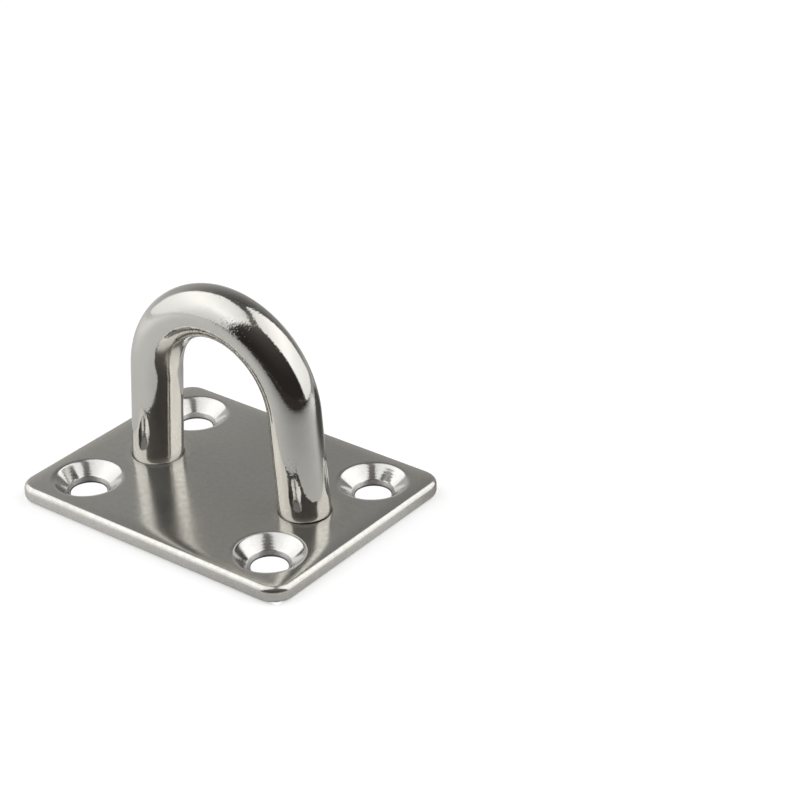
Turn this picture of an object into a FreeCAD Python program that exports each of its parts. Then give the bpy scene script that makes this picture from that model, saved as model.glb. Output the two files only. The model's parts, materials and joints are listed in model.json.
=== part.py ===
import FreeCAD, Part
import math
import os

# Hammock hook: a stamped steel plate that screws to a beam or a wall, and a round bar
# bent into an arch that carries the rope or the carabiner. The arch's two legs stand in
# holes through the plate and are plug welded from the back, below the plate's flat back.
#
# Millimetres. The origin is the middle of the plate's back face, +X runs along the
# plate's long side and +Z points out of the surface that the plate is screwed to.
# The arch stands in the X-Z plane.

# Plate
PLATE_LENGTH = 39.0
PLATE_WIDTH = 30.0
PLATE_THICKNESS = 2.0
PLATE_CORNER_RADIUS = 2.6
FRONT_EDGE_RADIUS = 1.0
BACK_EDGE_CHAMFER = 0.35

# Screw holes, one near each corner, for 4 mm screws with 8 mm countersunk heads
SCREW_INSET_X = 6.0
SCREW_INSET_Y = 5.8
SCREW_HOLE_DIAMETER = 4.5
SCREW_SINK_DIAMETER = 8.1
SCREW_SINK_ANGLE = 100.0

# Arch of round bar
BAR_DIAMETER = 6.0
ARCH_HEIGHT = 26.2
LEG_SPACING = 22.0
LEG_LEAN = 4.2

# Where a leg passes through the plate
LEG_CLEARANCE = 0.08
LEG_HOLE_CHAMFER = 0.12

# Plug welds
WELD_DEPTH = 0.8
WELD_FLARE = 0.4
WELD_RIM_WIDTH = 0.12
WELD_WALL_WIDTH = 0.55
WELD_DIP = 0.4
WELD_CROWN_RISE = 0.15

# How far the cutting tools run past the plate's faces
CUT_MARGIN = 1.0

# Worked out from the sizes above
SCREW_X = PLATE_LENGTH / 2 - SCREW_INSET_X
SCREW_Y = PLATE_WIDTH / 2 - SCREW_INSET_Y
BAR_RADIUS = BAR_DIAMETER / 2
LEAN = math.radians(LEG_LEAN)
PLATE_TO_ARCH_TOP = ARCH_HEIGHT - BAR_RADIUS - PLATE_THICKNESS
# The bend is tangent to both leaning legs and its centre line reaches the arch's top.
BEND_RADIUS = (LEG_SPACING / 2 - PLATE_TO_ARCH_TOP * math.tan(LEAN)) / (1 / math.cos(LEAN) - math.tan(LEAN))
BEND_CENTRE_Z = ARCH_HEIGHT - BAR_RADIUS - BEND_RADIUS
# A leg's hole is upright and the leg leans, so the hole leaves room for the lean.
OPEN_HOLE_DEPTH = PLATE_THICKNESS - WELD_DEPTH
LEAN_IN_HOLE = OPEN_HOLE_DEPTH / 2 * math.tan(LEAN)
LEG_HOLE_X = LEG_SPACING / 2 + LEAN_IN_HOLE
LEG_HOLE_RADIUS = BAR_RADIUS / math.cos(LEAN) + LEAN_IN_HOLE + LEG_CLEARANCE
WELD_RADIUS = LEG_HOLE_RADIUS + WELD_FLARE


def vec(x, y, z):
    return FreeCAD.Vector(x, y, z)


def revolved(edges):
    """Solid of the closed outline in the X-Z plane, turned once about Z."""
    face = Part.Face(Part.Wire(edges))
    return face.revolve(vec(0, 0, 0), vec(0, 0, 1), 360)


def stepped_cutter(wall):
    """Round cutter whose wall runs up through (radius, height) points and on past the front face."""
    head = (wall[-1][0], PLATE_THICKNESS + CUT_MARGIN)
    outline = [(0, wall[0][1])] + wall + [head, (0, head[1])]
    return revolved([line(a, b) for a, b in zip(outline, outline[1:] + outline[:1])])


def line(start, end):
    """Edge between two (radius, height) points in the X-Z plane."""
    return Part.makeLine(vec(start[0], 0, start[1]), vec(end[0], 0, end[1]))


def arc(start, middle, end):
    """Arc through three (radius, height) points in the X-Z plane."""
    points = [vec(r, 0, z) for r, z in (start, middle, end)]
    return Part.Arc(*points).toShape()


def plate_blank():
    """Rectangle with rounded corners, rolled over at the front and chamfered at the back."""
    blank = Part.makeBox(
        PLATE_LENGTH, PLATE_WIDTH, PLATE_THICKNESS,
        vec(-PLATE_LENGTH / 2, -PLATE_WIDTH / 2, 0))
    upright = [e for e in blank.Edges if abs(e.BoundBox.ZLength - PLATE_THICKNESS) < 1e-6]
    blank = blank.makeFillet(PLATE_CORNER_RADIUS, upright)
    wall = PLATE_THICKNESS - BACK_EDGE_CHAMFER
    blank = blank.makeFillet(min(FRONT_EDGE_RADIUS, 0.95 * wall), edges_at_height(blank, PLATE_THICKNESS))
    return blank.makeChamfer(BACK_EDGE_CHAMFER, edges_at_height(blank, 0))


def edges_at_height(shape, z):
    return [e for e in shape.Edges if e.BoundBox.ZLength < 1e-6 and abs(e.BoundBox.ZMin - z) < 1e-6]


def screw_hole():
    """Cutter for one countersunk screw hole, standing on Z."""
    hole_radius = SCREW_HOLE_DIAMETER / 2
    slope = math.radians(SCREW_SINK_ANGLE / 2)
    sink_depth = (SCREW_SINK_DIAMETER / 2 - hole_radius) / math.tan(slope)
    sink_foot = (hole_radius, PLATE_THICKNESS - sink_depth)
    mouth = (SCREW_SINK_DIAMETER / 2, PLATE_THICKNESS)
    return stepped_cutter([(hole_radius, -CUT_MARGIN), sink_foot, mouth])


def leg_hole():
    """Cutter for one leg's upright hole, from the weld's seat to the front face."""
    chamfer_foot = (LEG_HOLE_RADIUS, PLATE_THICKNESS - LEG_HOLE_CHAMFER)
    mouth = (LEG_HOLE_RADIUS + LEG_HOLE_CHAMFER, PLATE_THICKNESS)
    return stepped_cutter([(LEG_HOLE_RADIUS, WELD_DEPTH), chamfer_foot, mouth])


def weld_seat():
    """Flared mouth of a leg's hole at the back, which the weld fills."""
    return Part.makeCone(WELD_RADIUS, LEG_HOLE_RADIUS, WELD_DEPTH)


def weld_dish():
    """The hollow in a weld: a sloping wall round a low crown, open to the back."""
    mouth = WELD_RADIUS - WELD_RIM_WIDTH
    trough = (mouth - WELD_WALL_WIDTH, WELD_DIP)
    crown_sphere = (trough[0] ** 2 + WELD_CROWN_RISE ** 2) / (2 * WELD_CROWN_RISE)
    crown = (0, WELD_DIP - WELD_CROWN_RISE)
    half_way = trough[0] / 2
    on_crown = (half_way, crown[1] + crown_sphere - math.sqrt(crown_sphere ** 2 - half_way ** 2))
    foot = -CUT_MARGIN
    return revolved([
        line((0, foot), (mouth, foot)),
        line((mouth, foot), (mouth, 0)),
        line((mouth, 0), trough),
        arc(trough, on_crown, crown),
        line(crown, (0, foot))])


def at(shape, x, y):
    """Copy of a shape, moved in the plane of the plate."""
    copy = shape.copy()
    copy.translate(vec(x, y, 0))
    return copy


def base_plate():
    cutters = []
    for side_x in (-1, 1):
        for side_y in (-1, 1):
            cutters.append(at(screw_hole(), side_x * SCREW_X, side_y * SCREW_Y))
        cutters.append(at(leg_hole(), side_x * LEG_HOLE_X, 0))
        cutters.append(at(weld_seat(), side_x * LEG_HOLE_X, 0))
    return plate_blank().cut(cutters)


def leg(side, section):
    """One straight leg from the bend down through the plate, at side -1 or 1."""
    bend_end_z = BEND_CENTRE_Z + BEND_RADIUS * math.sin(LEAN)
    length = (bend_end_z + CUT_MARGIN) / math.cos(LEAN)
    return section.extrude(vec(side * math.sin(LEAN) * length, 0, -math.cos(LEAN) * length))


def bar_section(side):
    """Round face across the bar where the bend meets the leg at side -1 or 1."""
    centre = vec(side * BEND_RADIUS * math.cos(LEAN), 0, BEND_CENTRE_Z + BEND_RADIUS * math.sin(LEAN))
    along = vec(-side * math.sin(LEAN), 0, math.cos(LEAN))
    return Part.Face(Part.Wire(Part.makeCircle(BAR_RADIUS, centre, along)))


def rod_loop():
    """The bent bar: a round bend between two leaning legs, cut off level on the welds."""
    turn = 180 - 2 * LEG_LEAN
    bend = bar_section(1).revolve(vec(0, 0, BEND_CENTRE_Z), vec(0, -1, 0), turn)
    bar = bend.fuse([leg(side, bar_section(side)) for side in (-1, 1)]).removeSplitter()
    reach = LEG_SPACING + BAR_DIAMETER
    below = Part.makeBox(2 * reach, 2 * reach, reach, vec(-reach, -reach, WELD_DEPTH - reach))
    return bar.cut(below)


def weld(side):
    """Plug weld under the leg at side -1 or 1: it fills the seat, apart from its dish."""
    return at(weld_seat().cut(weld_dish()), side * LEG_HOLE_X, 0)


def main():
    os.makedirs("parts", exist_ok=True)
    nodes = {
        "base_plate": base_plate(),
        "rod_loop": rod_loop(),
        "weld_left": weld(-1),
        "weld_right": weld(1),
    }
    for name, shape in nodes.items():
        shape.exportStep("parts/" + name + ".step")


main()
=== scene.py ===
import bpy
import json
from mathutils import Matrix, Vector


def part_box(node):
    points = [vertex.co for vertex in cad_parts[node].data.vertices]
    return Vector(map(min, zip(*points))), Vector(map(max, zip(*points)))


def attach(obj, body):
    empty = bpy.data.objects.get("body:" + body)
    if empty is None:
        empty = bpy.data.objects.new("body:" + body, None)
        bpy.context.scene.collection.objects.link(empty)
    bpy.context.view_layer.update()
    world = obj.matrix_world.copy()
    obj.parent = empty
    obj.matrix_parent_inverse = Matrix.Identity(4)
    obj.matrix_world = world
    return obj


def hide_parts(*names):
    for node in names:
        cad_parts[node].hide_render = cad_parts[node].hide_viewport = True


bl_info = {
    "name": "Hammock Hook",
    "version": (1, 0, 0),
    "blender": (4, 5, 0),
    "location": "View3D > Sidebar > Hammock Hook",
    "description": "Dresses a welded steel hammock hook and builds a small studio round it",
    "category": "Add Mesh",
}

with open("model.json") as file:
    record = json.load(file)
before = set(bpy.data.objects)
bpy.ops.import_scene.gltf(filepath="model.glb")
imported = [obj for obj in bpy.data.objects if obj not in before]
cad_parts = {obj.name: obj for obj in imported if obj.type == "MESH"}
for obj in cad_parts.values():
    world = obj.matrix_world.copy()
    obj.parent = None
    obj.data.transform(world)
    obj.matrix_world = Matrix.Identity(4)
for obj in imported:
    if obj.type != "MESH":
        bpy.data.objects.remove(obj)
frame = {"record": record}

import json
import math

import bmesh
import bpy
from bpy.props import FloatProperty, FloatVectorProperty, PointerProperty
from mathutils import Matrix, Vector, geometry, noise

MM = 0.001
STEEL = (0.66, 0.645, 0.608)

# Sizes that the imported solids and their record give
MOUNTS = {mount["name"]: mount for mount in frame["record"]["mounts"]}
SCREWS = MOUNTS["screw_holes"]["dims"]
PLATE_LOW, PLATE_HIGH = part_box("base_plate")
BAR_LOW, BAR_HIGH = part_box("rod_loop")
WELD_BOXES = {"left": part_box("weld_left"), "right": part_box("weld_right")}

# How fine the meshes are
EDGE_STEP = 0.45 * MM
CORNER_STEPS = 20
ROLL_STEPS = 16
BACK_STEPS = 6
FRONT_SPACING = 0.4 * MM
BACK_SPACING = 1.5 * MM
HOLE_POINTS = 72
LIP_STEPS = 8
BAR_POINTS = 112
LEG_STEP = 0.25 * MM
BEND_STEP = 0.22 * MM
WELD_POINTS = 96
WELD_RINGS = 34

# The studio, in metres
PANEL_DISTANCE = 0.35
FLOOR_REACH = 4.0
FLOOR_HEIGHT = -0.02 * MM
# Reach and height of the painted floor shade that only the metal mirrors
FLOOR_SHADE_REACH = 1.0
FLOOR_SHADE_HEIGHT = -0.01 * MM
TENT_REACH = 1.1
TENT_RINGS = 24
CARD_REACH = 0.7
CARD_HEIGHT = -0.25
STAGE_POINTS = 64

# Lengths of the slow waves that the metal shows in its mirror images
SHEET_WAVES = (11 * MM, 4 * MM)
BAR_WAVES = (3.2 * MM, 1.4 * MM)
WELD_LUMPS = 1.1 * MM


def length(name, description, default):
    """A size in metres that the sidebar shows with its unit."""
    return FloatProperty(
        name=name, description=description, default=default, unit="LENGTH", precision=5)


def angle(name, description, degrees):
    """An angle, given in degrees and kept in radians."""
    return FloatProperty(
        name=name, description=description, default=math.radians(degrees), subtype="ANGLE")


def number(name, description, default):
    """A plain number."""
    return FloatProperty(name=name, description=description, default=default, precision=3)


def colour(name, description, default):
    """A colour in linear light."""
    return FloatVectorProperty(
        name=name, description=description, default=default, subtype="COLOR", min=0, max=1)


class PlateSizes(bpy.types.PropertyGroup):
    """The plate's outline, its rolled edge and its holes"""
    length: length("Length", "Along X", PLATE_HIGH.x - PLATE_LOW.x)
    width: length("Width", "Along Y", PLATE_HIGH.y - PLATE_LOW.y)
    thickness: length("Thickness", "Of the sheet", PLATE_HIGH.z - PLATE_LOW.z)
    corner: length("Corner Radius", "Seen from above", 2.6 * MM)
    roll: length("Rolled Edge", "Radius of the tight rounding at the front edge", 0.6 * MM)
    crown_reach: length("Crown Reach", "Width of the gentle fall before the rolled edge", 2.0 * MM)
    crown_fall: length("Crown Fall", "Height lost in the gentle fall", 0.11 * MM)
    back_round: length("Back Rounding", "Radius of the worn edge at the back", 0.55 * MM)
    screw_x: length("Screw Spacing X", "Between screw holes", SCREWS["spacing_x_mm"] * MM)
    screw_y: length("Screw Spacing Y", "Between screw holes", SCREWS["spacing_y_mm"] * MM)
    hole_radius: length("Screw Hole Radius", "Of the straight hole", SCREWS["hole_r_mm"] * MM)
    sink_radius: length("Countersink Radius", "At the front face", 4.05 * MM)
    sink_angle: angle("Countersink Angle", "Whole angle of the cone", 100)
    sink_lip: length("Countersink Lip", "Rounding at the cone's mouth", 0.34 * MM)
    throat: length("Hole Widening", "How much wider than nominal the hole is at the cone", 0.17 * MM)
    throat_round: length("Throat Rounding", "Rounding where the cone meets the straight hole", 0.15 * MM)
    draw: length("Hole Narrowing", "How much narrower than nominal the hole is at the back", 0.17 * MM)
    hole_edge: length("Hole Edge", "Broken edge of a screw hole at the back", 0.1 * MM)
    hole_edge_round: length("Hole Edge Rounding", "Rounding of that edge's inner corner", 0.03 * MM)
    leg_gap: length("Leg Gap", "Dark line between a leg and the front face", 0.03 * MM)
    leg_play: length("Leg Play", "How much wider that line is at one side of the right leg", 0.20 * MM)
    play_turn: angle("Leg Play Direction", "Where the line is widest, from +X", -32)
    leg_lip: length("Leg Hole Lip", "Width of the rounding at a leg hole's mouth", 0.45 * MM)
    leg_drop: length("Leg Hole Drop", "Depth of the rounding at a leg hole's mouth", 0.16 * MM)
    leg_step: length("Leg Hole Step", "Height over the weld at which a leg hole widens", 0.15 * MM)
    dip_reach: length("Leg Hole Dip", "Width of the sunken ring round a leg", 1.6 * MM)
    dip_fall: length("Leg Hole Dip Depth", "Height lost at the leg hole", 0.03 * MM)
    wave: length("Waviness", "Height of the sheet's slow waves", 0.006 * MM)


class BarSizes(bpy.types.PropertyGroup):
    """The bent round bar"""
    radius: length("Bar Radius", "Half the bar's thickness", (BAR_HIGH.y - BAR_LOW.y) / 2)
    top: length("Arch Height", "Top of the arch above the plate's back", BAR_HIGH.z)
    foot: length("Foot Height", "Where the legs end on the welds", BAR_LOW.z)
    spacing: length("Leg Spacing", "Between the legs' middles at the front face", 22.0 * MM)
    lean: angle("Leg Lean", "How far each leg leans outwards", 4.2)
    wave: length("Waviness", "Height of the polishing waves", 0.004 * MM)


class WeldSizes(bpy.types.PropertyGroup):
    """The plug welds at the back"""
    flare: length("Flare", "How much wider the seat is at the back", 0.4 * MM)
    rim: length("Rim", "Flat ring at the weld's edge", 0.12 * MM)
    wall: length("Wall", "Width of the dish's sloping wall", 0.55 * MM)
    dip: length("Dish Depth", "From the plate's back to the trough", 0.4 * MM)
    crown: length("Crown", "Rise in the middle of the dish", 0.15 * MM)
    ripple: length("Ripple", "Height of the frozen ripples", 0.05 * MM)


class Finishes(bpy.types.PropertyGroup):
    """Colours and polish of the steel"""
    plate: colour("Plate", "Front of the plate", (0.77, 0.755, 0.716))
    plate_dull: colour("Plate Back", "Unpolished back of the plate", (0.35, 0.345, 0.335))
    bar: colour("Bar", "Mirror-polished bar", STEEL)
    sink: colour("Countersinks", "Turned cones of the screw holes", (0.72, 0.71, 0.69))
    weld: colour("Welds", "Weld metal", (0.42, 0.41, 0.395))
    heat: colour("Heat Tint", "Stain round the welds at the back", (0.20, 0.185, 0.16))
    plate_roughness: number("Plate Roughness", "Satin of the front", 0.18)
    plate_haze: number("Plate Haze", "Share of the front that scatters light widely", 0.10)
    bar_roughness: number("Bar Roughness", "Polish of the bar", 0.05)


class StudioSettings(bpy.types.PropertyGroup):
    """Camera, light, floor and the painted shade that lies on it"""
    azimuth: angle("Camera Azimuth", "Round the hook, from -Y towards +X", 37.736)
    elevation: angle("Camera Elevation", "Above the floor", 29.074)
    tilt: angle("Camera Roll", "About the line of sight", -1.114)
    distance: length("Camera Distance", "Along the line of sight to the plate", 274.391 * MM)
    slide_right: length("Slide Right", "The plate's middle in the picture", -19.363 * MM)
    slide_up: length("Slide Up", "The plate's middle in the picture", -10.756 * MM)
    lens: number("Lens", "Millimetres, on a 36 mm sensor", 107.914)
    light: number("Light", "Strength of the light panels at their brightest", 1.55)
    ambient: number("Ambient", "Strength of the room's light on pale surfaces", 0.1)
    floor: colour("Floor", "Pale floor", (0.8, 0.8, 0.8))
    floor_lift: number("Floor Lift", "What brings the floor up to white in the picture", 0.47)
    # Painted shade: the floor shows in the metal only at this share, and the rest takes the dark colour
    # below
    floor_veil: number("Floor Veil", "Share of the floor that shows in the metal", 0.66)
    dark: colour("Painted Floor Shade", "Painted shade on the floor on the camera's side", (0.044, 0.037, 0.033))


class HookSettings(bpy.types.PropertyGroup):
    """Everything that the sidebar shows"""
    plate: PointerProperty(type=PlateSizes)
    bar: PointerProperty(type=BarSizes)
    weld: PointerProperty(type=WeldSizes)
    finish: PointerProperty(type=Finishes)
    studio: PointerProperty(type=StudioSettings)


class Surface:
    """Points and faces of one closed mesh, put together from rings and fills."""

    def __init__(self):
        self.points = []
        self.faces = []

    def ring(self, points):
        first = len(self.points)
        self.points.extend(points)
        return list(range(first, len(self.points)))

    def bridge(self, a, b):
        for i in range(len(a)):
            j = (i + 1) % len(a)
            self.faces.append((a[i], a[j], b[j], b[i]))

    def strip(self, rings):
        """Rings joined one after the other; gives the indices of the first and the last."""
        made = [self.ring(points) for points in rings]
        for a, b in zip(made, made[1:]):
            self.bridge(a, b)
        return made[0], made[-1]

    def cap(self, ring):
        self.faces.append(tuple(ring))

    def fill(self, loops, spacing, inside, height):
        """Triangles between rings, over a staggered grid: inside(x, y) is the depth into the area."""
        border = [i for loop in loops for i in loop]
        flat = [Vector(self.points[i][:2]) for i in border]
        index = list(border)
        edges = []
        start = 0
        for loop in loops:
            edges += [(start + i, start + (i + 1) % len(loop)) for i in range(len(loop))]
            start += len(loop)
        low = Vector((min(p.x for p in flat), min(p.y for p in flat)))
        high = Vector((max(p.x for p in flat), max(p.y for p in flat)))
        row_step = spacing * math.sqrt(0.75)
        for row in range(int((high.y - low.y) / row_step) + 1):
            y = low.y + row * row_step
            shift = spacing / 2 * (row % 2)
            for column in range(int((high.x - low.x) / spacing) + 1):
                x = low.x + shift + column * spacing
                if inside(x, y) > 0.55 * spacing:
                    flat.append(Vector((x, y)))
                    index.append(len(self.points))
                    self.points.append((x, y, height(x, y)))
        scaled = [p / MM for p in flat]
        made = geometry.delaunay_2d_cdt(scaled, edges, [], 0, 1e-5, True)
        source = [origins[0] for origins in made[3]]
        for face in made[2]:
            centre = sum((made[0][i] for i in face), Vector((0, 0))) / 3 * MM
            if inside(centre.x, centre.y) > 0:
                self.faces.append(tuple(index[source[i]] for i in face))

    def piece(self, name, material, node):
        """The finished object, riding with the hook in place of its plain solid."""
        mesh = bpy.data.meshes.new(name)
        mesh.from_pydata([tuple(p) for p in self.points], [], self.faces)
        mesh.update()
        tidy_mesh(mesh)
        mesh.materials.append(material)
        made = bpy.data.objects.new(name, mesh)
        bpy.context.scene.collection.objects.link(made)
        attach(made, "root")
        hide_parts(node)
        return made


def tidy_mesh(mesh):
    """Turns every face outwards and shades the mesh smooth."""
    work = bmesh.new()
    work.from_mesh(mesh)
    bmesh.ops.recalc_face_normals(work, faces=work.faces)
    for face in work.faces:
        face.smooth = True
    work.to_mesh(mesh)
    work.free()
    if mesh.validate():
        raise RuntimeError(mesh.name + " had faulty faces")


def circle(x, y, z, radius, count):
    """Points of a level circle, counted round from +X."""
    turn = 2 * math.pi / count
    return [(x + radius * math.cos(turn * i), y + radius * math.sin(turn * i), z) for i in range(count)]


def plate_outline(plate):
    """(point, outward direction) pairs round the plate's edge, seen from above."""
    half = (plate.length / 2 - plate.corner, plate.width / 2 - plate.corner)
    outline = []
    for quarter, (side_x, side_y) in enumerate(((1, 1), (-1, 1), (-1, -1), (1, -1))):
        centre = Vector((side_x * half[0], side_y * half[1]))
        for i in range(CORNER_STEPS + 1):
            turn = math.pi / 2 * (quarter + i / CORNER_STEPS)
            out = Vector((math.cos(turn), math.sin(turn)))
            outline.append((centre + out * plate.corner, out))
        run = 2 * (half[0] if quarter % 2 == 0 else half[1])
        along = Vector((-out.y, out.x))
        count = round(run / EDGE_STEP)
        for i in range(1, count):
            outline.append((centre + out * plate.corner + along * (run * i / count), out))
    return outline


def screw_places(plate):
    """Middles of the four screw holes."""
    return [(sx * plate.screw_x / 2, sy * plate.screw_y / 2) for sx in (-1, 1) for sy in (-1, 1)]


def leg_places():
    """Middles of the two leg holes at the plate's back, the left one first."""
    return [((low.x + high.x) / 2, 0.0) for low, high in WELD_BOXES.values()]


def seat_radius():
    """Radius of a weld's seat at the plate's back."""
    low, high = WELD_BOXES["left"]
    return (high.x - low.x) / 2


def front_height(plate, x, y, leg_radius):
    """Height of the plate's front: flat, falling gently to its edge, with slow waves."""
    z = plate.thickness
    for gap in (plate.length / 2 - abs(x), plate.width / 2 - abs(y)):
        depth = (plate.roll + plate.crown_reach - gap) / plate.crown_reach
        z -= plate.crown_fall * max(0.0, depth) ** 3
    for leg_x, leg_y in leg_places():
        gap = math.hypot(x - leg_x, y - leg_y) - leg_radius
        z -= plate.dip_fall * max(0.0, 1 - gap / plate.dip_reach) ** 2
    long_wave, short_wave = SHEET_WAVES
    slow = noise.noise(Vector((x, y, 0)) / long_wave) + 0.4 * noise.noise(Vector((x, y, 9)) / short_wave)
    return z - plate.wave * (1.2 + slow)


def edge_rings(plate, outline, leg_radius):
    """Rings down the plate's rolled edge, its wall and the worn edge at the back."""
    start_slope = math.atan(3 * plate.crown_fall / plate.crown_reach)
    radius = plate.roll / (1 - math.sin(start_slope))
    rings = []
    for i in range(ROLL_STEPS + 1):
        turn = start_slope + (math.pi / 2 - start_slope) * i / ROLL_STEPS
        inset = plate.roll - radius * (math.sin(turn) - math.sin(start_slope))
        drop = radius * (math.cos(start_slope) - math.cos(turn))
        rings.append((inset, drop))
    made = []
    for inset, drop in rings:
        ring = []
        for point, out in outline:
            start = point - out * plate.roll
            top = front_height(plate, start.x, start.y, leg_radius)
            place = point - out * inset
            ring.append((place.x, place.y, top - drop))
        made.append(ring)
    for i in range(BACK_STEPS + 1):
        turn = math.pi / 2 * i / BACK_STEPS
        inset = plate.back_round * (1 - math.cos(turn))
        z = plate.back_round * (1 - math.sin(turn))
        made.append([(*(point - out * inset), z) for point, out in outline])
    return made


def rounded(path, reaches, steps=5):
    """A (radius, height) path with its inner corners rounded, each over its own reach."""
    made = [path[0]]
    for before, corner, after, reach in zip(path, path[1:], path[2:], reaches):
        corner_at = Vector(corner)
        a = corner_at + (Vector(before) - corner_at).normalized() * reach
        b = corner_at + (Vector(after) - corner_at).normalized() * reach
        for i in range(steps + 1):
            t = i / steps
            made.append(tuple(a * (1 - t) ** 2 + corner_at * 2 * t * (1 - t) + b * t ** 2))
    made.append(path[-1])
    return made


def pushed_out(ring, middle, turn, push):
    """A leg hole's ring round this middle, made wider towards one side."""
    widest = Vector((math.cos(turn), math.sin(turn)))
    made = []
    for x, y, z in ring:
        out = Vector((x - middle, y)).normalized()
        more = push * max(0.0, out.dot(widest)) ** 4
        made.append((x + out.x * more, y + out.y * more, z))
    return made


def screw_hole_rings(plate, x, y, leg_radius):
    """Rings down a countersunk hole, from the front face to the back."""
    slope = math.tan(math.pi / 2 - plate.sink_angle / 2)
    throat = plate.hole_radius + plate.throat
    narrow_end = plate.hole_radius - plate.draw
    cone_foot = plate.thickness - (plate.sink_radius - throat) * slope
    top = front_height(plate, x, y, leg_radius)
    path = [(screw_mouth(plate), top), (plate.sink_radius, top), (throat, cone_foot),
            (narrow_end, plate.hole_edge), (narrow_end + plate.hole_edge, 0)]
    rings = []
    for radius, z in rounded(path, (plate.sink_lip, plate.throat_round, plate.hole_edge_round)):
        share = max(0.0, (z - cone_foot) / (top - cone_foot))
        rings.append([(px, py, pz + (front_height(plate, px, py, leg_radius) - top) * share)
                      for px, py, pz in circle(x, y, z, radius, HOLE_POINTS)])
    return rings


def screw_mouth(plate):
    """Radius at which a countersink's rounded lip starts."""
    return plate.sink_radius + plate.sink_lip * 1.05


def leg_hole_rings(settings, x, y, leg_radius):
    """Rings down a leaning leg hole, from its rounded lip to the weld's seat at the back."""
    plate = settings.plate
    foot = settings.bar.foot
    side = math.copysign(1, x)
    narrow = settings.bar.radius + plate.leg_gap
    top = plate.thickness - plate.dip_fall - plate.wave
    path = []
    for i in range(LIP_STEPS + 1):
        turn = math.pi / 2 * i / LIP_STEPS
        path.append((narrow + plate.leg_lip * (1 - math.sin(turn)),
                     top - plate.leg_drop * (1 - math.cos(turn))))
    path += [(narrow, (foot + plate.thickness) / 2), (leg_radius, foot + plate.leg_step),
             (leg_radius, foot), (leg_radius + settings.weld.flare, 0)]
    rings = []
    for step, (radius, z) in enumerate(path):
        middle = x
        if z > foot:
            middle = side * (settings.bar.spacing / 2 + (plate.thickness - z) * math.tan(settings.bar.lean))
        ring = circle(middle, y, z, radius, HOLE_POINTS)
        if side > 0 and step <= LIP_STEPS + 1:
            push = plate.leg_play * min(step / LIP_STEPS, 1)
            ring = pushed_out(ring, middle, plate.play_turn, push)
        rings.append(ring)
    rings[0] = [(px, py, front_height(plate, px, py, leg_radius)) for px, py, _ in rings[0]]
    return rings


def depth_in(plate, inset, mouth, legs, leg_mouth):
    """Function that says how deep a point lies in a face with this border."""
    half_x = plate.length / 2 - plate.corner
    half_y = plate.width / 2 - plate.corner

    def depth(x, y):
        over_x = abs(x) - half_x
        over_y = abs(y) - half_y
        outside = math.hypot(max(over_x, 0), max(over_y, 0)) + min(max(over_x, over_y), 0)
        gaps = [plate.corner - inset - outside]
        gaps += [math.hypot(x - hx, y - hy) - mouth for hx, hy in screw_places(plate)]
        gaps += [math.hypot(x - hx, y - hy) - leg_mouth for hx, hy in legs]
        return min(gaps)
    return depth


def build_plate(settings, material):
    """The plate: its edge and the walls of its holes as rings, its two faces filled between them."""
    plate = settings.plate
    leg_radius = seat_radius() - settings.weld.flare
    surface = Surface()
    walls = [edge_rings(plate, plate_outline(plate), leg_radius)]
    walls += [screw_hole_rings(plate, x, y, leg_radius) for x, y in screw_places(plate)]
    walls += [leg_hole_rings(settings, x, y, leg_radius) for x, y in leg_places()]
    ends = [surface.strip(rings) for rings in walls]

    half = settings.bar.spacing / 2
    leg_mouth = settings.bar.radius + plate.leg_gap + plate.leg_lip
    front = depth_in(plate, plate.roll, screw_mouth(plate), [(-half, 0), (half, 0)], leg_mouth)
    surface.fill([top for top, back in ends], FRONT_SPACING, front,
                 lambda x, y: front_height(plate, x, y, leg_radius))
    hole_end = plate.hole_radius - plate.draw + plate.hole_edge
    back = depth_in(plate, plate.back_round, hole_end, leg_places(), seat_radius())
    surface.fill([back for top, back in ends], BACK_SPACING, back, lambda x, y: 0.0)
    return surface.piece("plate", material, "base_plate")


def bar_path(bar, plate):
    """(centre, direction) pairs along the bar's middle line, from the left foot to the right one."""
    rise = bar.top - bar.radius - plate.thickness
    bend = bar.spacing / 2 - rise * math.tan(bar.lean)
    bend /= 1 / math.cos(bar.lean) - math.tan(bar.lean)
    centre_z = bar.top - bar.radius - bend
    join_x = bend * math.cos(bar.lean)
    join_z = centre_z + bend * math.sin(bar.lean)
    leg = (join_z - bar.foot) / math.cos(bar.lean)
    leg_steps = round(leg / LEG_STEP)
    turn = math.pi - 2 * bar.lean
    bend_steps = round(turn * bend / BEND_STEP)
    up = Vector((math.sin(bar.lean), 0, math.cos(bar.lean)))
    path = []
    for i in range(leg_steps):
        along = leg * (1 - i / leg_steps)
        path.append((Vector((-join_x, 0, join_z)) - up * along, up))
    for i in range(bend_steps + 1):
        a = math.pi - bar.lean - turn * i / bend_steps
        out = Vector((math.cos(a), 0, math.sin(a)))
        path.append((Vector((0, 0, centre_z)) + out * bend, Vector((out.z, 0, -out.x))))
    down = Vector((up.x, 0, -up.z))
    for i in range(1, leg_steps + 1):
        path.append((Vector((join_x, 0, join_z)) + down * (leg * i / leg_steps), down))
    return path


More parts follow.
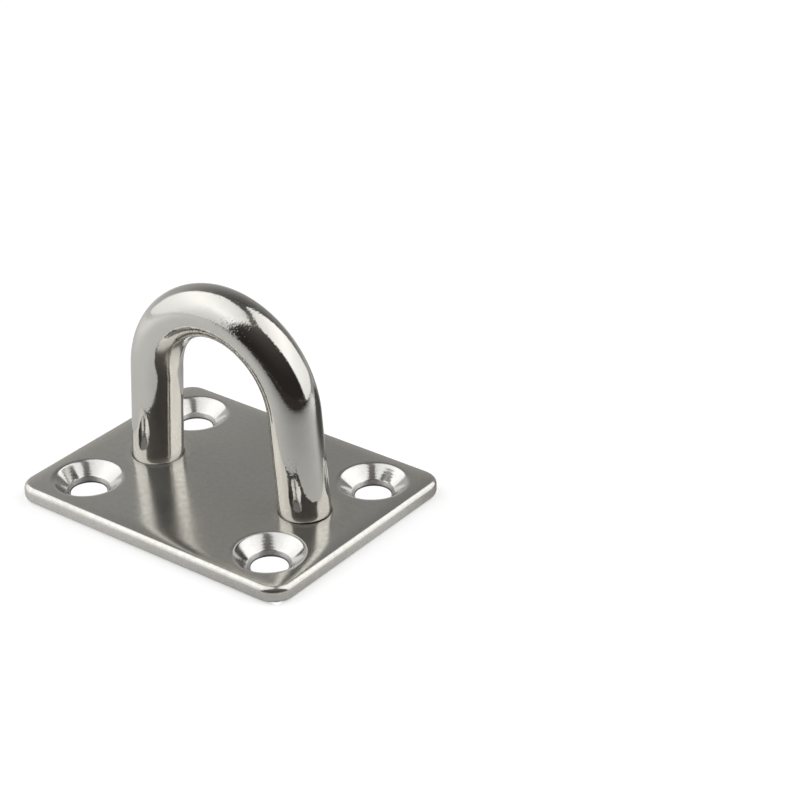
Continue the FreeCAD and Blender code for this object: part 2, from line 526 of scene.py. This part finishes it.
def build_bar(settings, material):
    """The bar: rings along its bent middle line, cut level at both feet."""
    bar = settings.bar
    long_wave, short_wave = BAR_WAVES
    path = bar_path(bar, settings.plate)
    rings = []
    for centre, along in path:
        side = Vector((along.z, 0, -along.x))
        ring = []
        for i in range(BAR_POINTS):
            turn = 2 * math.pi * i / BAR_POINTS
            out = side * math.cos(turn) + Vector((0, 1, 0)) * math.sin(turn)
            place = centre + out * bar.radius
            slow = noise.noise(place / long_wave) + 0.5 * noise.noise(place / short_wave)
            ring.append(place - out * bar.wave * (0.8 + slow))
        rings.append(ring)
    for end in (0, -1):
        along = path[end][1]
        rings[end] = [place + along * ((bar.foot - place.z) / along.z) for place in rings[end]]
    surface = Surface()
    first, last = surface.strip(rings)
    surface.cap(first)
    surface.cap(last)
    return surface.piece("bar", material, "rod_loop")


def build_weld(settings, side, material):
    """One plug weld: a disc that fills its seat, dished and rippled at the back."""
    weld = settings.weld
    low, high = WELD_BOXES[side]
    x = (low.x + high.x) / 2
    outer = (high.x - low.x) / 2
    mouth = outer - weld.rim
    seed = 3.0 if side == "left" else 11.0
    rings = [circle(x, 0, high.z, outer - weld.flare, WELD_POINTS),
             circle(x, 0, 0, outer, WELD_POINTS), circle(x, 0, 0, mouth, WELD_POINTS)]
    for step in range(1, WELD_RINGS):
        radius = mouth * (1 - step / WELD_RINGS) + 0.02 * MM
        rings.append([(px, py, weld_depth(weld, Vector((px - x, py, 0)), mouth, seed))
                      for px, py, _ in circle(x, 0, 0, radius, WELD_POINTS)])
    surface = Surface()
    first, last = surface.strip(rings)
    surface.cap(first)
    surface.cap(last)
    return surface.piece("weld_bead_" + side, material, "weld_" + side)


def weld_depth(weld, place, mouth, seed):
    """How deep the dish is at a place: a sloping wall, a trough and a low rippled crown."""
    trough = mouth - weld.wall
    radius = place.length
    wall = min(1.0, (mouth - radius) / (mouth - trough))
    wall = wall * wall * (3 - 2 * wall)
    crown = max(0.0, 1 - (radius / trough) ** 2)
    lumps = noise.noise(place / WELD_LUMPS + Vector((0, 0, seed)))
    ripple = math.sin((radius / MM) * 9 + 2 * lumps + seed)
    depth = weld.dip * wall - weld.crown * crown
    depth += weld.ripple * wall * (1.1 * lumps + 0.25 * ripple)
    return max(0.0, depth)


class Value:
    """A socket that shader maths can be written with."""

    def __init__(self, shader, socket):
        self.shader = shader
        self.socket = socket

    def math(self, operation, *others):
        inputs = {0: self, **dict(enumerate(others, 1))}
        return self.shader.node("ShaderNodeMath", {"operation": operation}, inputs)

    def __add__(self, other):
        return self.math("ADD", other)

    __radd__ = __add__

    def __mul__(self, other):
        return self.math("MULTIPLY", other)

    __rmul__ = __mul__

    def __sub__(self, other):
        return self.math("SUBTRACT", other)

    def __rsub__(self, other):
        return self.shader.node("ShaderNodeMath", {"operation": "SUBTRACT"}, {0: other, 1: self})

    def __truediv__(self, other):
        return self.math("DIVIDE", other)

    def __rtruediv__(self, other):
        return self.shader.node("ShaderNodeMath", {"operation": "DIVIDE"}, {0: other, 1: self})

    def __pow__(self, other):
        return self.math("POWER", other)

    def most(self, other):
        return self.math("MAXIMUM", other)

    def step(self, low, high):
        """0 below low, 1 above high, and a smooth rise between."""
        return self.shader.node(
            "ShaderNodeMapRange", {"interpolation_type": "SMOOTHSTEP"},
            {"Value": self, "From Min": low, "From Max": high})


class Shader:
    """The nodes of one material or of the world."""

    def __init__(self, owner):
        owner.use_nodes = True
        self.tree = owner.node_tree
        self.tree.nodes.clear()

    def node(self, kind, settings=None, inputs=None, output=0):
        """A node of this type, with its settings set and its sockets filled; gives one output."""
        made = self.tree.nodes.new(kind)
        for name, value in (settings or {}).items():
            if name == "stops":
                ramp = made.color_ramp.elements
                while len(ramp) < len(value):
                    ramp.new(0.5)
                for stop, (place, shade) in zip(ramp, value):
                    stop.position = place
                    stop.color = shade
            else:
                setattr(made, name, value)
        for name, value in (inputs or {}).items():
            if isinstance(value, Value):
                self.tree.links.new(value.socket, made.inputs[name])
            else:
                made.inputs[name].default_value = value
        return Value(self, made.outputs[output]) if len(made.outputs) else made

    def mix(self, factor, a, b):
        """Colour between a and b; each is a colour or a link."""
        ends = [c if isinstance(c, Value) else (*c, 1) for c in (a, b)]
        return self.node("ShaderNodeMix", {"data_type": "RGBA"}, {0: factor, 6: ends[0], 7: ends[1]}, 2)

    def ramp(self, factor, stops, tint=(1, 1, 1)):
        """Grey levels by position, times a tint."""
        shades = [(place, (*(level * part for part in tint), 1)) for place, level in stops]
        return self.node("ShaderNodeValToRGB", {"stops": shades}, {0: factor})

    def vector(self, operation, a, b=(0, 0, 0), output=0):
        return self.node("ShaderNodeVectorMath", {"operation": operation}, {0: a, 1: b}, output)

    def place(self):
        """Where the surface is, in millimetres in the hook's own frame."""
        where = self.node("ShaderNodeTexCoord", output="Object")
        return self.vector("MULTIPLY", where, (1 / MM,) * 3)

    def apart(self, place, spot):
        """Distance of a place from a spot."""
        return self.vector("LENGTH", self.vector("SUBTRACT", place, tuple(spot)), output=1)

    def apart_from_twins(self, place, x, y):
        """Distance, seen from above, from the nearest of the places at plus or minus x and y."""
        folded = self.vector("SUBTRACT", self.vector("ABSOLUTE", place), (x, y, 0))
        return self.vector("LENGTH", self.vector("MULTIPLY", folded, (1, 1, 0)), output=1)

    def parts(self, vector):
        return [self.node("ShaderNodeSeparateXYZ", None, {0: vector}, i) for i in range(3)]

    def noise(self, place, scale, detail=2.0, roughness=0.5):
        return self.node("ShaderNodeTexNoise", None, {
            "Vector": place, "Scale": scale, "Detail": detail, "Roughness": roughness})

    def bump(self, height, distance, under=None):
        """Normal of a surface raised by height times distance, over another normal if one is given."""
        inputs = {"Height": height, "Strength": 1.0, "Distance": distance}
        if under is not None:
            inputs["Normal"] = under
        return self.node("ShaderNodeBump", None, inputs)

    def metal(self, base, roughness, normal):
        """Bare steel; the tint dulls its edges a little, as steel does against a pure mirror."""
        return self.node("ShaderNodeBsdfPrincipled", None, {
            "Base Color": base, "Metallic": 1.0, "Roughness": roughness, "Normal": normal,
            "Specular Tint": (0.85, 0.85, 0.85, 1)})

    def finish(self, shader, kind="ShaderNodeOutputMaterial"):
        self.node(kind, None, {0: shader})


def new_material(name):
    material = bpy.data.materials.new(name)
    return material, Shader(material)


def plate_material(settings):
    """Satin front, bright turned countersinks, sheared wall and dull stained back."""
    finish = settings.finish
    plate = settings.plate
    material, shader = new_material("plate_steel")
    place = shader.place()
    x, _, z = shader.parts(place)
    cloudy = shader.noise(place, 0.12, 3, 0.6)
    fine = shader.noise(place, 2.2, 3, 0.6)
    grain = shader.noise(place, 9.0, 2, 0.6)

    # Masks of the countersinks, the straight holes, the back and the sheared wall
    across = shader.apart_from_twins(place, plate.screw_x / 2 / MM, plate.screw_y / 2 / MM)
    sink_radius = plate.sink_radius / MM
    sink = (1 - across.step(sink_radius + 0.08, sink_radius + 0.22)) * z.step(0.1, 0.3)
    throat = (plate.hole_radius + plate.throat) / MM
    bore = 1 - across.step(throat - 0.03, throat + 0.04)
    back = 1 - z.step(0.04, 0.12)
    wall = (1 - z.step(1.0, 1.35)) * across.step(sink_radius, sink_radius + 0.3)

    # Colour of the front, then of the holes and the back
    warm = (0.96 * finish.plate[0], 0.95 * finish.plate[1], 0.93 * finish.plate[2])
    front = shader.mix(cloudy.step(0.35, 0.7), finish.plate, warm)
    satin = shader.noise(place, 1.6, 4, 0.75)
    front = shader.mix(satin.step(0.3, 0.7) * 0.28, front, (0.5, 0.49, 0.465))
    pits = grain.step(0.62, 0.75) * wall
    front = shader.mix(wall * 0.15, front, (0.42, 0.415, 0.40))
    front = shader.mix(pits * 0.35, front, (0.2, 0.19, 0.18))
    front = shader.mix(sink, front, finish.sink)
    front = shader.mix(bore, front, tuple(part * 0.85 for part in finish.sink))
    # Painted shade: the lowest part of each straight hole and its edge at the back are near black
    front = shader.mix(bore * (1 - z.step(0.12, 0.3)), front, (0.06, 0.06, 0.057))
    from_leg = shader.apart_from_twins(place, leg_places()[1][0] / MM, 0)
    stain = (1 - from_leg.step(3.4, 5.6)) * fine.step(0.35, 0.6)
    darker = tuple(0.8 * part for part in finish.plate_dull)
    dull = shader.mix(fine.step(0.3, 0.75), finish.plate_dull, darker)
    dull = shader.mix(stain * 0.75, dull, finish.heat)
    base = shader.mix(back, front, dull)

    # Roughness and relief, with the turning marks of the countersinks
    rough = finish.plate_roughness + 0.05 * (cloudy - 0.5) + 0.05 * (fine - 0.5)
    rough = rough + wall * 0.1 + sink * (0.1 * (cloudy - 0.5) - 0.05) + bore * (0.1 + 0.4 * fine)
    rough = rough + back * 0.22
    rings = shader.node("ShaderNodeMath", {"operation": "SINE"}, {0: across * 21.0})
    normal = shader.bump(fine, 0.004 * MM)
    normal = shader.bump(grain, 0.0012 * MM, normal)
    chatter = shader.noise(place, 1.5, 3, 0.6)
    normal = shader.bump((rings * fine * 0.3 + chatter) * sink, 0.005 * MM, normal)

    # Share that scatters light widely: more at the ends, round the legs and in the holes
    halo = 1 - from_leg.step(3.3, 4.4)
    haze = finish.plate_haze + 0.13 * (1 - x.step(-15.0, 1.0)) + 0.05 * x.step(6.0, 15.0)
    haze = haze + 0.2 * halo + 0.16 * (cloudy - 0.5) + 0.25 * (satin - 0.5)
    haze = haze * (1 - sink) + 0.2 * fine * sink + 0.15 * bore
    polished = shader.metal(base, rough, normal)
    hazy = shader.metal(base, 0.7, normal)
    shader.finish(shader.node("ShaderNodeMixShader", None, {0: haze.most(0), 1: polished, 2: hazy}))
    return material


def bar_material(settings):
    """Mirror polish with a faint orange peel and with specks where the bar was bent."""
    finish = settings.finish
    material, shader = new_material("polished_bar")
    place = shader.place()
    peel = shader.noise(place, 1.1, 2, 0.5)
    specks = shader.noise(place, 4.2, 1, 0.5)
    pits = specks.step(0.56, 0.70)
    smudge = shader.noise(place, 0.25, 3, 0.6)
    base = shader.mix(smudge.step(0.35, 0.7), finish.bar, tuple(0.96 * c for c in finish.bar))
    rough = finish.bar_roughness + 0.05 * smudge.step(0.45, 0.75) + 0.03 * specks.step(0.55, 0.8)
    patchy = shader.noise(place, 0.33, 2, 0.5).step(0.42, 0.62)
    bend = 1 - shader.apart(place, (2.5, -2.0, 21.7)).step(1.5, 8.0)
    normal = shader.bump(peel, 0.006 * MM)
    normal = shader.bump(specks * (0.1 + 0.2 * patchy + 0.5 * bend), 0.014 * MM, normal)
    normal = shader.bump(pits * (0.06 + 0.14 * patchy + 0.36 * bend), 0.009 * MM, normal)
    shader.finish(shader.metal(base, rough, normal))
    return material


def weld_material(settings):
    """Dull, slightly tinted weld metal; the wall of the dish is smoother and shines."""
    finish = settings.finish
    weld = settings.weld
    material, shader = new_material("weld_metal")
    place = shader.place()
    mottle = shader.noise(place, 1.3, 4, 0.65)
    grain = shader.noise(place, 6.0, 3, 0.6)
    trough = (seat_radius() - weld.rim - weld.wall) / MM
    radius = shader.apart_from_twins(place, leg_places()[1][0] / MM, 0)
    wall = radius.step(trough - 0.2, trough + 0.1)
    base = shader.mix(mottle.step(0.40, 0.66) * (0.6 - 0.4 * wall), finish.weld, finish.heat)
    rough = 0.36 + 0.2 * mottle - 0.2 * wall
    normal = shader.bump(mottle * (1 - 0.7 * wall), 0.02 * MM)
    normal = shader.bump(grain * (1 - 0.7 * wall), 0.006 * MM, normal)
    shader.finish(shader.metal(base, rough, normal))
    return material


def toward(azimuth, elevation):
    """Direction from the hook; azimuth 0 is -Y and 90 degrees is +X, and both are in radians."""
    level = math.cos(elevation)
    return Vector((math.sin(azimuth) * level, -math.cos(azimuth) * level, math.sin(elevation)))


def sideways(azimuth):
    """Level direction to the right of who looks at the hook from this azimuth, in radians."""
    return Vector((math.cos(azimuth), math.sin(azimuth), 0))


def placed(right, up, out, middle):
    """Matrix that turns an object's axes to these and moves it to this place."""
    return Matrix.Translation(middle) @ Matrix((right, up, out)).transposed().to_4x4()


def seen_ray(shader):
    """1 for what the camera sees, directly, in the metal or through glass."""
    rays = [shader.node("ShaderNodeLightPath", output=name)
            for name in ("Is Camera Ray", "Is Glossy Ray", "Is Transmission Ray")]
    return rays[0].most(rays[1]).most(rays[2])


def square(reach_x, reach_y, height):
    """Corners of a level rectangle round the middle."""
    return [(-reach_x, -reach_y, height), (reach_x, -reach_y, height),
            (reach_x, reach_y, height), (-reach_x, reach_y, height)]


def add_stage_mesh(name, points, faces, material):
    mesh = bpy.data.meshes.new(name)
    mesh.from_pydata(points, [], faces)
    mesh.materials.append(material)
    made = bpy.data.objects.new(name, mesh)
    bpy.context.scene.collection.objects.link(made)
    return made


def panel(name, azimuth, tilt, distance, sides, ends, material):
    """Flat panel that faces the hook; sides and ends are shares of its distance."""
    out = toward(azimuth, tilt)
    right = sideways(azimuth)
    up = out.cross(right)
    points = [(x * distance, y * distance, 0) for x, y in
              ((sides[0], ends[0]), (sides[1], ends[0]), (sides[1], ends[1]), (sides[0], ends[1]))]
    made = add_stage_mesh(name, points, [(0, 1, 2, 3)], material)
    made.matrix_world = placed(right, up, out, out * distance)
    made.visible_camera = False
    return made


def only_in_metal(card):
    """The card shows in reflections and neither lights nor shades anything."""
    card.visible_camera = False
    card.visible_diffuse = False
    card.visible_transmission = False
    card.visible_volume_scatter = False
    card.visible_shadow = False
    card.data.materials[0].cycles.emission_sampling = "NONE"
    return card


def build_camera(studio):
    camera = bpy.data.cameras.new("camera")
    made = bpy.data.objects.new("camera", camera)
    bpy.context.scene.collection.objects.link(made)
    back = toward(studio.azimuth, studio.elevation)
    level = sideways(studio.azimuth)
    up = back.cross(level)
    right = level * math.cos(studio.tilt) + up * math.sin(studio.tilt)
    up = up * math.cos(studio.tilt) - level * math.sin(studio.tilt)
    place = back * studio.distance - right * studio.slide_right - up * studio.slide_up
    made.matrix_world = placed(right, up, back, place)
    camera.lens = studio.lens
    camera.sensor_width = 36
    camera.clip_start = 0.01
    bpy.context.scene.camera = made


def build_floor(settings):
    """Pale floor with a hole under the plate: it keeps the shadow and runs into white far away."""
    studio = settings.studio
    material, shader = new_material("floor")
    white = (1, 1, 1, 1)
    pale = shader.node("ShaderNodeBsdfDiffuse", None, {"Color": (*studio.floor, 1)})
    lift = shader.node("ShaderNodeEmission", None, {
        "Color": white, "Strength": seen_ray(shader) * studio.floor_lift})
    near = shader.node("ShaderNodeAddShader", None, {0: pale, 1: lift})
    where = shader.node("ShaderNodeTexCoord", output="Object")
    far = shader.vector("LENGTH", where, output=1).step(0.15, 0.38)
    horizon = shader.node("ShaderNodeEmission", None, {"Color": white})
    above = shader.node("ShaderNodeMixShader", None, {0: seen_ray(shader) * far, 1: near, 2: horizon})
    under = shader.node("ShaderNodeNewGeometry", output="Backfacing")
    clear = shader.node("ShaderNodeBsdfTransparent")
    shader.finish(shader.node("ShaderNodeMixShader", None, {0: under, 1: above, 2: clear}))
    material.cycles.emission_sampling = "NONE"
    inset = 0.6 * MM
    hole_x = settings.plate.length / 2 - inset
    hole_y = settings.plate.width / 2 - inset
    points = square(FLOOR_REACH, FLOOR_REACH, FLOOR_HEIGHT) + square(hole_x, hole_y, FLOOR_HEIGHT)
    faces = [(i, (i + 1) % 4, (i + 1) % 4 + 4, i + 4) for i in range(4)]
    add_stage_mesh("floor", points, faces, material)


def build_world(studio):
    """White behind everything that is seen, and a dim room for what only lights pale surfaces."""
    world = bpy.data.worlds.new("studio")
    bpy.context.scene.world = world
    shader = Shader(world)
    seen = seen_ray(shader)
    strength = seen + (1 - seen) * studio.ambient
    room = shader.node("ShaderNodeBackground", None, {"Color": (1, 1, 1, 1), "Strength": strength})
    shader.finish(room, "ShaderNodeOutputWorld")
    world.cycles.sampling_method = "NONE"


def panel_material(studio, sides, ends, slant, fade):
    """Soft-edged light. Slant cuts the top off towards one side, and fade dims the camera's side."""
    material, shader = new_material("light_panel")
    where = shader.parts(shader.node("ShaderNodeTexCoord", output="Object"))
    across = where[0] / PANEL_DISTANCE
    along = where[1] / PANEL_DISTANCE
    glow = shader.ramp((along + 0.6) / 2.6, (
        (0.0, 0.70), (0.12, 0.77), (0.24, 0.87), (0.33, 0.98), (0.40, 0.97), (0.56, 0.82),
        (0.70, 0.75), (1.0, 0.62)))
    soft_side, soft_top = 0.16, 0.3
    edge = across.step(sides[0], sides[0] + soft_side) * (1 - across.step(sides[1] - soft_side, sides[1]))
    cut = along + (across * slant - 0.15 * abs(slant)).most(0)
    edge = edge * (1 - cut.step(ends[1] - soft_top, ends[1]))
    edge = edge * (1 - fade * across.step(0.1, 0.6) * (1 - along.step(0.1, 0.6)))
    light = shader.node("ShaderNodeEmission", None, {"Color": glow, "Strength": studio.light})
    clear = shader.node("ShaderNodeBsdfTransparent")
    shader.finish(shader.node("ShaderNodeMixShader", None, {0: edge, 1: clear, 2: light}))
    return material


def build_lights(studio):
    """Two tall panels of light that lean in from the left and from the right."""
    for name, turn, tilt, sides, ends, slant, fade in (
            ("light_left", -101.7, 24.9, (-0.72, 0.95), (-0.46, 2.25), -1.8, 0.22),
            ("light_right", 90.6, 24.3, (-0.62, 0.87), (-0.45, 1.62), 0.15, 0.0)):
        panel(name, studio.azimuth + math.radians(turn), math.radians(tilt), PANEL_DISTANCE,
              sides, ends, panel_material(studio, sides, ends, slant, fade))


def build_tent(studio):
    """Cloth tent round the studio: dark on the camera's side, grey behind and overhead."""
    material, shader = new_material("tent_cloth")
    where = shader.vector("NORMALIZE", shader.node("ShaderNodeTexCoord", output="Object"))
    height = shader.parts(where)[2]
    ahead = shader.vector("DOT_PRODUCT", where, tuple(toward(studio.azimuth, 0)), output=1)
    aside = shader.vector("DOT_PRODUCT", where, tuple(sideways(studio.azimuth)), output=1)
    back = shader.ramp(height, (
        (0.0, 0.43), (0.26, 0.38), (0.42, 0.29), (0.57, 0.215), (0.71, 0.165), (0.82, 0.115),
        (0.96, 0.125), (1.0, 0.18)), (1.0, 0.985, 0.965))
    front = shader.ramp(height, (
        (0.0, 0.028), (0.3, 0.028), (0.57, 0.044), (0.82, 0.074), (0.91, 0.105),
        (1.0, 0.20)), (1.08, 0.96, 0.90))
    scale = {0: back, "Scale": 1 - 0.65 * aside}
    back = shader.node("ShaderNodeVectorMath", {"operation": "SCALE"}, scale)
    emitted = shader.mix(ahead.step(-0.1, 0.1), back, front)
    shader.finish(shader.node("ShaderNodeEmission", None, {"Color": emitted}))
    tent = Surface()
    rings = []
    for i in range(TENT_RINGS):
        turn = math.pi / 2 * i / TENT_RINGS
        rings.append(circle(0, 0, TENT_REACH * math.sin(turn), TENT_REACH * math.cos(turn), STAGE_POINTS))
    _, top = tent.strip(rings)
    tent.cap(top)
    only_in_metal(add_stage_mesh("tent", tent.points, tent.faces, material))


def build_painted_floor_shade(studio):
    """Thin sheet of painted shade on the floor that only the metal mirrors: pale at the hook, where the
    floor shows through, dark towards the camera, with painted shadows and pools of light beside the hook.
    """
    material, shader = new_material("floor_cloth")
    where = shader.node("ShaderNodeTexCoord", output="Object")
    forward = toward(studio.azimuth, 0)
    right = sideways(studio.azimuth)
    aside = shader.vector("DOT_PRODUCT", where, tuple(right), output=1)
    ahead = shader.vector("DOT_PRODUCT", where, tuple(forward), output=1)

    # How much of the floor shows in the metal: painted shade that thickens towards the camera
    near = (ahead - 0.27 * (0 - aside).most(0)).most(0)
    unshaded = (1 - near.step(0.062, 0.102)) * studio.floor_veil / (1 + (near / 0.048) ** 1.5)

    # Painted shadow: a long dark patch on the floor behind the right leg
    long = (right * 0.86 - forward * 0.5).normalized()
    wide = Vector((-long.y, long.x, 0))
    from_patch = shader.vector("SUBTRACT", where, tuple(right * 0.054 - forward * 0.022))
    u = shader.vector("DOT_PRODUCT", from_patch, tuple(long / 0.038), output=1)
    v = shader.vector("DOT_PRODUCT", from_patch, tuple(wide / 0.018), output=1)
    patch = (u * u + v * v) ** 0.5
    unshaded = unshaded * (0.08 + 0.92 * patch.step(0.7, 1.35))

    # Painted shade on the far right, a painted shadow as a grey fringe behind the hook, and painted pools
    # of light as pale spots at its sides
    shade = aside.step(0.04, 0.08) * (1 - aside.step(0.2, 0.4)) * (1 - ahead.step(-0.045, -0.01))
    fringe = 1 - shader.apart(where, right * 0.021 - forward * 0.044).step(0.015, 0.042)
    pale = 0
    for spot, full, none in ((-0.11 * right - 0.045 * forward, 0.02, 0.085),
                             (0.115 * right + 0.02 * forward, 0.02, 0.085),
                             (-0.32 * right, 0.05, 0.17)):
        pale = pale + 1 - shader.apart(where, spot).step(full, none)
    unshaded = unshaded * (1 - 0.5 * shade) * (1 - 0.55 * fringe) * (1 + 0.35 * pale)

    clear = shader.node("ShaderNodeBsdfTransparent")
    # Painted shade: the dark colour that the metal mirrors in place of the floor
    emitted = shader.node("ShaderNodeEmission", None, {"Color": (*studio.dark, 1)})
    above = shader.node("ShaderNodeMixShader", None, {0: unshaded, 1: emitted, 2: clear})
    under = shader.node("ShaderNodeNewGeometry", output="Backfacing")
    shader.finish(shader.node("ShaderNodeMixShader", None, {0: under, 1: above, 2: clear}))
    points = square(FLOOR_SHADE_REACH, FLOOR_SHADE_REACH, FLOOR_SHADE_HEIGHT)
    only_in_metal(add_stage_mesh("floor_cloth", points, [(0, 1, 2, 3)], material))


def build_under_card():
    """Grey card with a pale spot far below the floor, which only the back of the hook mirrors."""
    material, shader = new_material("under_card")
    where = shader.node("ShaderNodeTexCoord", output="Object")
    spot = 1 - shader.apart(where, (-0.09, 0.12, CARD_HEIGHT)).step(0.04, 0.12)
    grey = shader.mix(spot, (0.17, 0.17, 0.17), (1, 1, 1))
    shader.finish(shader.node("ShaderNodeEmission", None, {"Color": grey, "Strength": 2}))
    card = Surface()
    card.cap(card.ring(circle(0, 0, CARD_HEIGHT, CARD_REACH, STAGE_POINTS)))
    only_in_metal(add_stage_mesh("under_card", card.points, card.faces, material))


class HOOK_OT_plate(bpy.types.Operator):
    """Builds the stamped plate with its rolled edge, screw holes and leg holes"""
    bl_idname = "hook.plate"
    bl_label = "Build Plate"

    def execute(self, context):
        settings = context.scene.hammock_hook
        build_plate(settings, plate_material(settings))
        return {"FINISHED"}


class HOOK_OT_bar(bpy.types.Operator):
    """Builds the polished round bar, bent into an arch"""
    bl_idname = "hook.bar"
    bl_label = "Build Bar"

    def execute(self, context):
        settings = context.scene.hammock_hook
        build_bar(settings, bar_material(settings))
        return {"FINISHED"}


class HOOK_OT_welds(bpy.types.Operator):
    """Builds the two dished plug welds at the plate's back"""
    bl_idname = "hook.welds"
    bl_label = "Build Welds"

    def execute(self, context):
        settings = context.scene.hammock_hook
        material = weld_material(settings)
        for side in WELD_BOXES:
            build_weld(settings, side, material)
        return {"FINISHED"}


class HOOK_OT_stage(bpy.types.Operator):
    """Builds the camera, the floor, the lights, the tent, the painted floor shade and the card below"""
    bl_idname = "hook.stage"
    bl_label = "Build Studio"

    def execute(self, context):
        settings = context.scene.hammock_hook
        build_camera(settings.studio)
        build_floor(settings)
        build_world(settings.studio)
        build_lights(settings.studio)
        build_tent(settings.studio)
        build_painted_floor_shade(settings.studio)
        build_under_card()
        context.scene.view_settings.view_transform = "Standard"
        return {"FINISHED"}


OPERATORS = (HOOK_OT_plate, HOOK_OT_bar, HOOK_OT_welds, HOOK_OT_stage)


class HOOK_PT_sidebar(bpy.types.Panel):
    """Sizes, finishes and the steps that build the hook"""
    bl_idname = "HOOK_PT_sidebar"
    bl_label = "Hammock Hook"
    bl_space_type = "VIEW_3D"
    bl_region_type = "UI"
    bl_category = "Hammock Hook"

    def draw(self, context):
        settings = context.scene.hammock_hook
        for group in ("plate", "bar", "weld", "finish", "studio"):
            box = self.layout.box()
            box.label(text=group.capitalize())
            values = getattr(settings, group)
            for name in values.__annotations__:
                box.prop(values, name)
        for operator in OPERATORS:
            self.layout.operator(operator.bl_idname)


GROUPS = (PlateSizes, BarSizes, WeldSizes, Finishes, StudioSettings, HookSettings)
CLASSES = (*GROUPS, *OPERATORS, HOOK_PT_sidebar)


def register():
    for cls in CLASSES:
        bpy.utils.register_class(cls)
    bpy.types.Scene.hammock_hook = PointerProperty(type=HookSettings)


def unregister():
    del bpy.types.Scene.hammock_hook
    for cls in reversed(CLASSES):
        bpy.utils.unregister_class(cls)


def main():
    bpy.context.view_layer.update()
    register()
    bpy.ops.hook.plate()
    bpy.ops.hook.bar()
    bpy.ops.hook.welds()
    bpy.ops.hook.stage()


if __name__ == "__main__":
    main()
